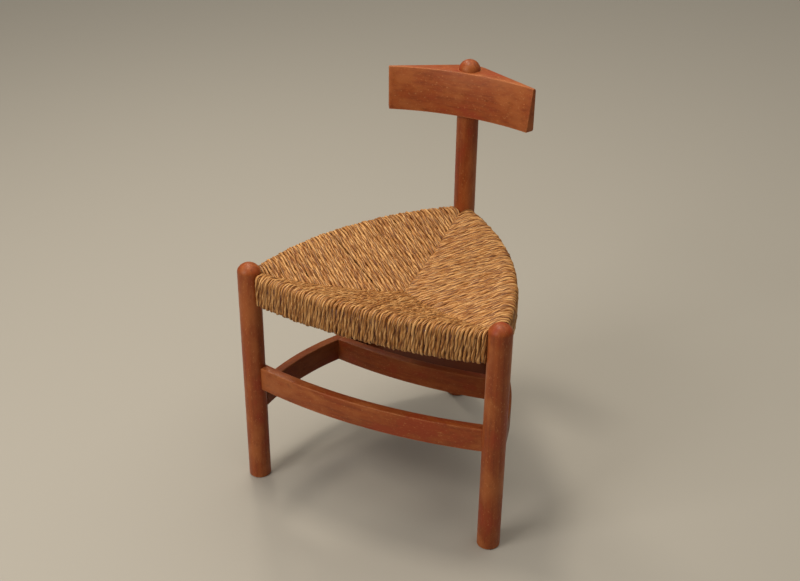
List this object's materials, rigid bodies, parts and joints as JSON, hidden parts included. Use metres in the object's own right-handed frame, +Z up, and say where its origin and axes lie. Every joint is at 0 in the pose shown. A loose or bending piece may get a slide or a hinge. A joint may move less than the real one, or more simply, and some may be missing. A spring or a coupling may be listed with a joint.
{
  "type": "corner chair",
  "caption": "Low corner chair: turned legs, bowed stretchers with a shelf, a dished triangular rush seat and a curved back board on the long rear post.",
  "frame": {"origin": "on the floor under the middle of the chair's bounding box", "axes": "+Z up, front of the seat towards -Y, rear post towards +Y, +X to the right as seen from the front"},
  "size_m": [0.511, 0.4882, 0.732],
  "materials": {
    "stained_wood": "red-brown stain under a worn satin varnish",
    "dark_stained_wood": "dark red-brown stain, satin",
    "rush": "twisted straw-coloured rush, slight natural sheen"
  },
  "bodies": {
    "root": {"leg_front_left": "stained_wood", "leg_front_right": "stained_wood", "rear_post": "stained_wood", "seat_rail_front": "stained_wood", "seat_rail_left": "stained_wood", "seat_rail_right": "stained_wood", "stretcher_front": "stained_wood", "stretcher_left": "stained_wood", "stretcher_right": "stained_wood", "stretcher_cross": "stained_wood", "shelf_panel": "dark_stained_wood", "backrest_board": "stained_wood", "rush_seat": "rush"}
  },
  "joints": []
}
